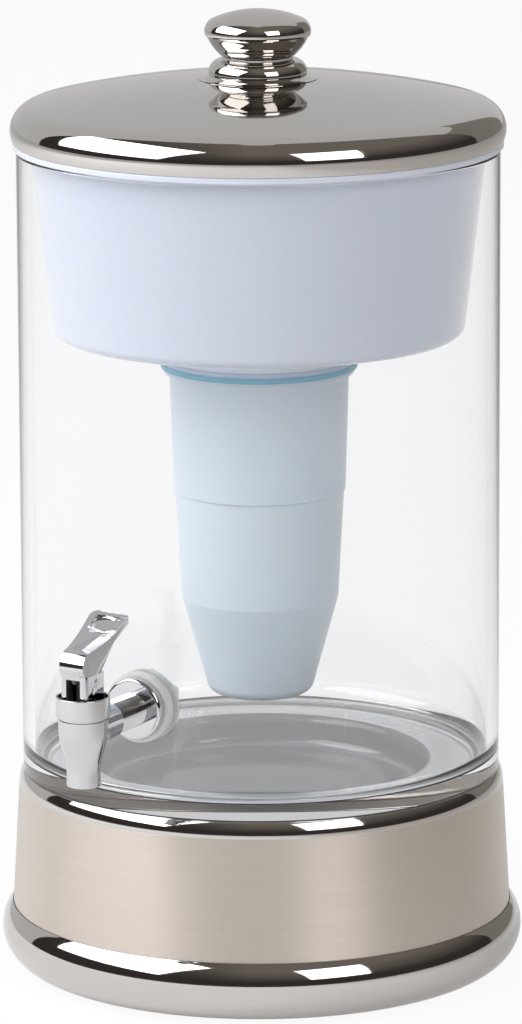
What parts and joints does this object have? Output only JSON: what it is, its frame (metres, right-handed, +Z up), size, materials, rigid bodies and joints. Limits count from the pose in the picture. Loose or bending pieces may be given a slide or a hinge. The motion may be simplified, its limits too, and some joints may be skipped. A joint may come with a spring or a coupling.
{
  "type": "gravity water filter with tap",
  "caption": "Glass water filter jar on a round steel stand, with hanging reservoir, screw-in filter, domed steel lid and lever tap.",
  "frame": {"origin": "on the floor at the middle of the stand's foot ring", "axes": "+Z up along the jar's axis, the tap points to -Y"},
  "size_m": [0.252, 0.3063, 0.4643],
  "materials": {
    "polished_steel": "polished",
    "brushed_steel": "brushed",
    "chrome": "polished",
    "rubber": "matte",
    "clear_glass": "gloss",
    "tub_plastic": "gloss",
    "filter_plastic": "satin",
    "gasket_silicone": "satin",
    "grey_silicone": "satin",
    "nut_plastic": "gloss",
    "mesh_fabric": "matte",
    "foam": "matte",
    "carbon": "matte",
    "resin": "matte",
    "steel_zinc": "satin"
  },
  "bodies": {
    "stand": {"stand_skirt": "brushed_steel", "stand_foot": "polished_steel", "foot_pad": "rubber", "stand_dish": "polished_steel"},
    "jar": {"glass_jar": "clear_glass", "tap_body": "chrome", "tap_flange": "chrome", "tap_nut": "nut_plastic", "tap_outer_washer": "grey_silicone", "tap_inner_washer": "grey_silicone", "tap_bonnet": "chrome", "tap_seat_cup": "grey_silicone"},
    "stem": {"tap_stem": "nut_plastic"},
    "lever": {"tap_lever": "chrome", "lever_pin": "steel_zinc"},
    "reservoir": {"reservoir_tub": "tub_plastic"},
    "filter_carrier": {"filter_gasket": "gasket_silicone"},
    "filter": {"filter_sleeve": "filter_plastic", "filter_cup": "filter_plastic", "filter_cap": "filter_plastic", "inlet_mesh": "mesh_fabric", "foam_disc": "foam", "carbon_bed": "carbon", "resin_bed": "resin", "outlet_mesh": "mesh_fabric"},
    "lid": {"lid_shell": "polished_steel", "lid_knob": "polished_steel", "knob_washer": "steel_zinc", "knob_screw": "steel_zinc"}
  },
  "joints": [
    {"name": "jar_lift", "type": "slide", "parent": "stand", "child": "jar", "axis": [0, 0, 1], "range_m": [0, 0.08]},
    {"name": "reservoir_lift", "type": "slide", "parent": "jar", "child": "reservoir", "axis": [0, 0, 1], "range_m": [0, 0.28]},
    {"name": "lid_lift", "type": "slide", "parent": "reservoir", "child": "lid", "axis": [0, 0, 1], "range_m": [0, 0.12]},
    {"name": "filter_drop", "type": "slide", "parent": "reservoir", "child": "filter_carrier", "axis": [0, 0, -1], "range_m": [0, 0.009]},
    {"name": "filter_turn", "type": "hinge", "parent": "filter_carrier", "child": "filter", "pos_m": [0, 0, 0.2969], "axis": [0, 0, -1], "range_deg": [0, 540]},
    {"name": "stem_lift", "type": "slide", "parent": "jar", "child": "stem", "axis": [0, 0, 1], "range_m": [0, 0.00288], "stiffness_N_per_m": 1500, "springref_m": -0.002, "deforming": ["tap_seat_cup"]},
    {"name": "lever_tilt", "type": "hinge", "parent": "stem", "child": "lever", "pos_m": [0, -0.1677, 0.1725], "axis": [1, 0, 0], "range_deg": [0, 30]}
  ],
  "couplings": [
    {"joint": "filter_drop", "follows": "filter_turn", "m_per_rad": 0.000955},
    {"joint": "lever_tilt", "follows": "stem_lift", "rad_per_m": 181.82}
  ]
}
